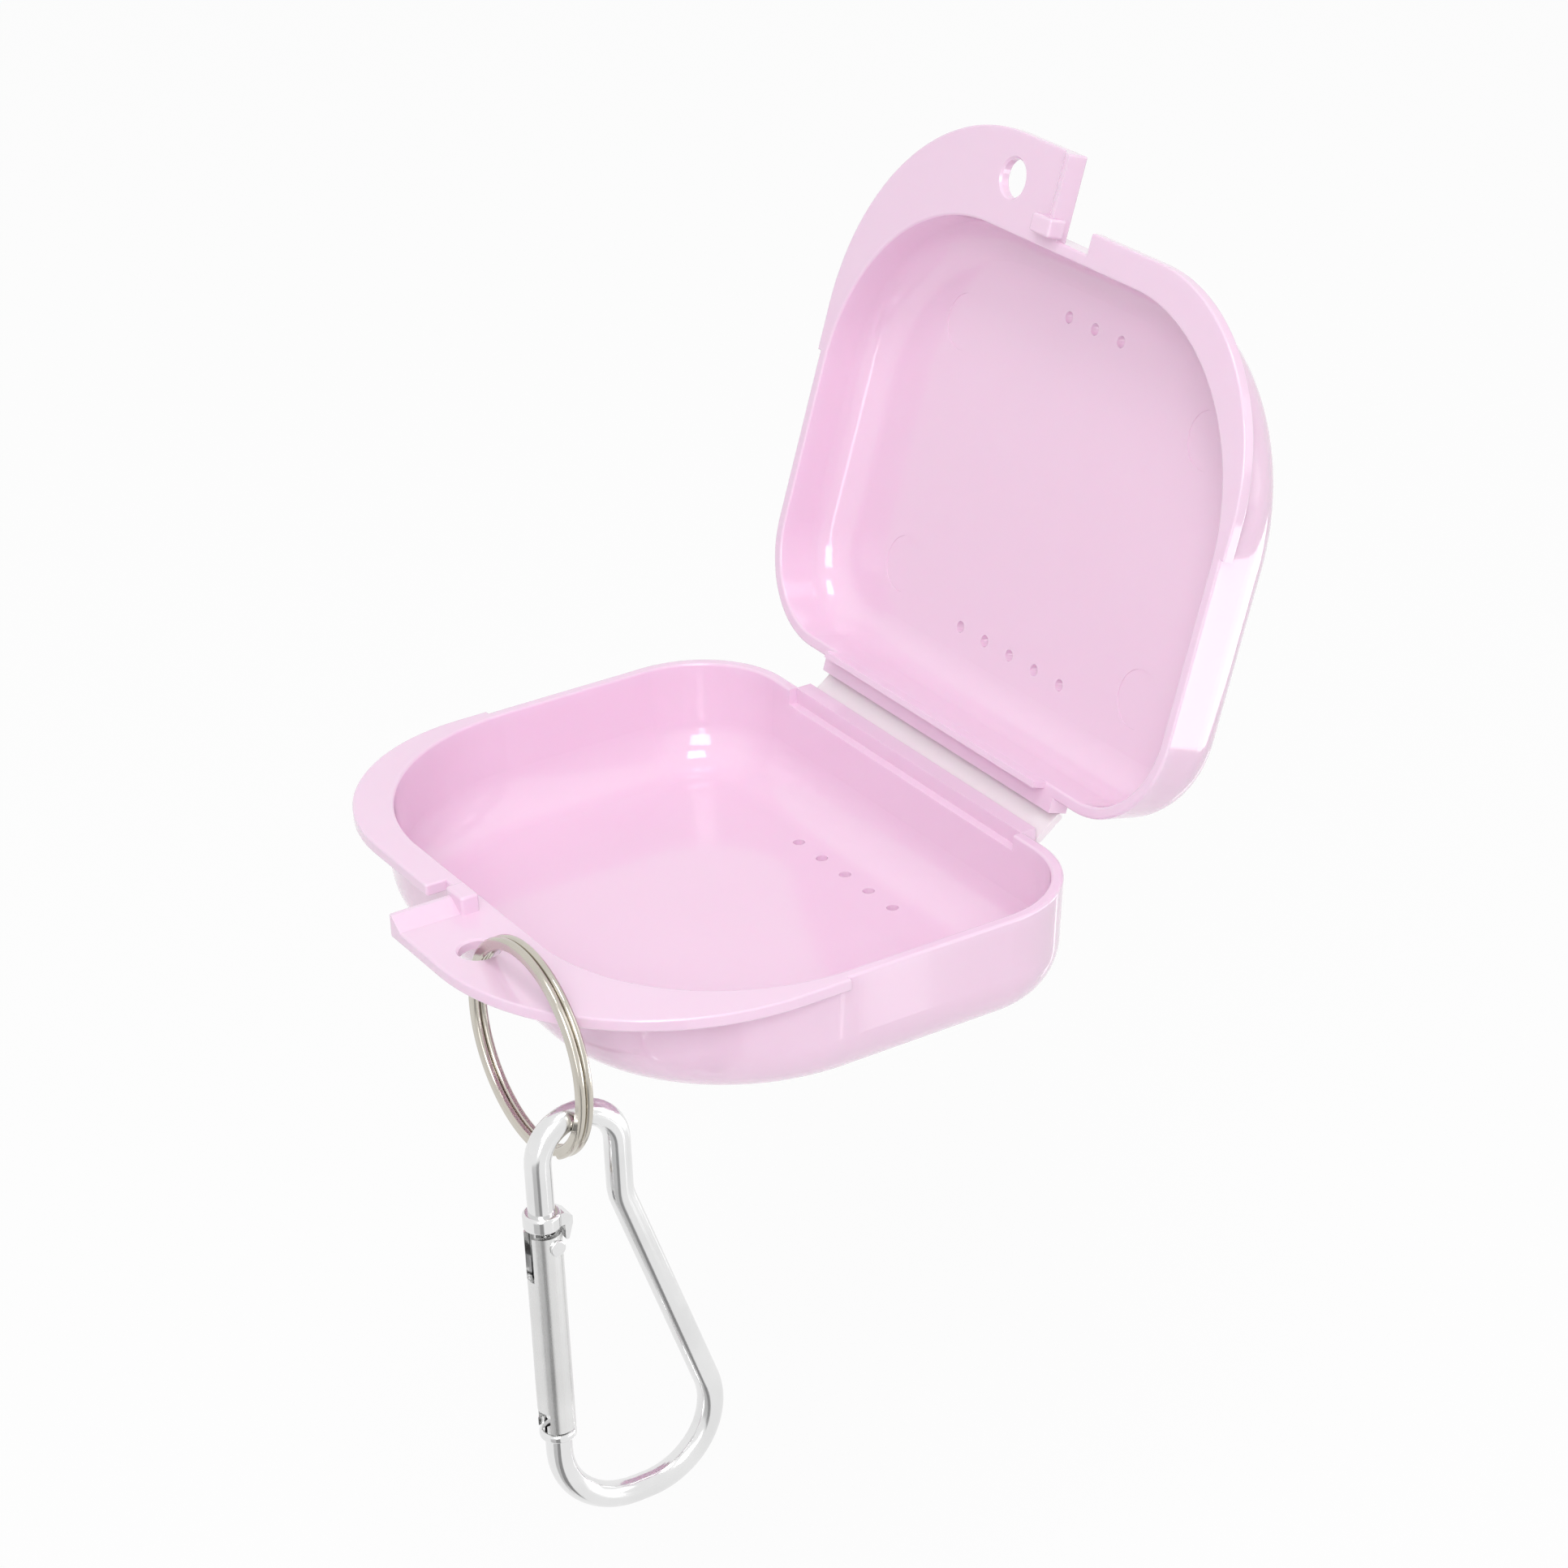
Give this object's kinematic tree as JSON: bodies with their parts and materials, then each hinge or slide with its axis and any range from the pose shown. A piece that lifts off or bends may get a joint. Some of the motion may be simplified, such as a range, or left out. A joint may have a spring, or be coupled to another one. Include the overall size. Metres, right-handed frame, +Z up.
{
  "type": "retainer case",
  "caption": "Two-part plastic case for a dental retainer with a folding strap hinge, thumb wings, vents, and a snap hook on a split ring.",
  "frame": {"origin": "centre of the tray's flat underside", "axes": "+Z up out of the tray, +Y towards the hinge, +X towards the tray's own thumb wing"},
  "size_m": [0.085, 0.1041, 0.1376],
  "materials": {
    "case_plastic": "glossy moulded pastel pink",
    "strap_plastic": "thin flexed strap, paler than the shells",
    "ring_steel": "nickel-plated spring wire",
    "hook_aluminium": "polished",
    "gate_aluminium": "satin rolled tube",
    "rivet_steel": "plain",
    "spring_steel": "drawn wire"
  },
  "bodies": {
    "tray": {"base_tray": "case_plastic"},
    "strap": {"hinge_strap": "strap_plastic"},
    "lid": {"lid_shell": "case_plastic"},
    "ring": {"split_ring": "ring_steel"},
    "hook": {"hook_body": "hook_aluminium"},
    "gate": {"hook_gate": "gate_aluminium", "gate_rivet": "rivet_steel", "gate_plunger": "rivet_steel", "gate_spring": "spring_steel"}
  },
  "joints": [
    {"name": "strap_fold", "type": "hinge", "parent": "tray", "child": "strap", "pos_m": [0, 0.0328, 0.0132], "axis": [-1, 0, 0], "range_deg": [-54.3, 35]},
    {"name": "lid_fold", "type": "hinge", "parent": "strap", "child": "lid", "pos_m": [0, 0.03564, 0.01524], "axis": [-1, 0, 0], "range_deg": [-54.3, 35]},
    {"name": "ring_swing", "type": "hinge", "parent": "tray", "child": "ring", "pos_m": [0.0228, -0.03535, 0.01455], "axis": [1, 0, 0], "range_deg": [-20, 6]},
    {"name": "hook_swing", "type": "hinge", "parent": "ring", "child": "hook", "pos_m": [0.03146, -0.03535, -0.00141], "axis": [1, 0, 0], "range_deg": [-30, 30]},
    {"name": "gate_open", "type": "hinge", "parent": "hook", "child": "gate", "pos_m": [0.03146, -0.03925, -0.01215], "axis": [1, 0, 0], "range_deg": [0, 22], "stiffness_Nm_per_rad": 0.05, "springref_deg": -20.05}
  ],
  "couplings": [
    {"joint": "lid_fold", "follows": "strap_fold", "ratio": 1}
  ]
}
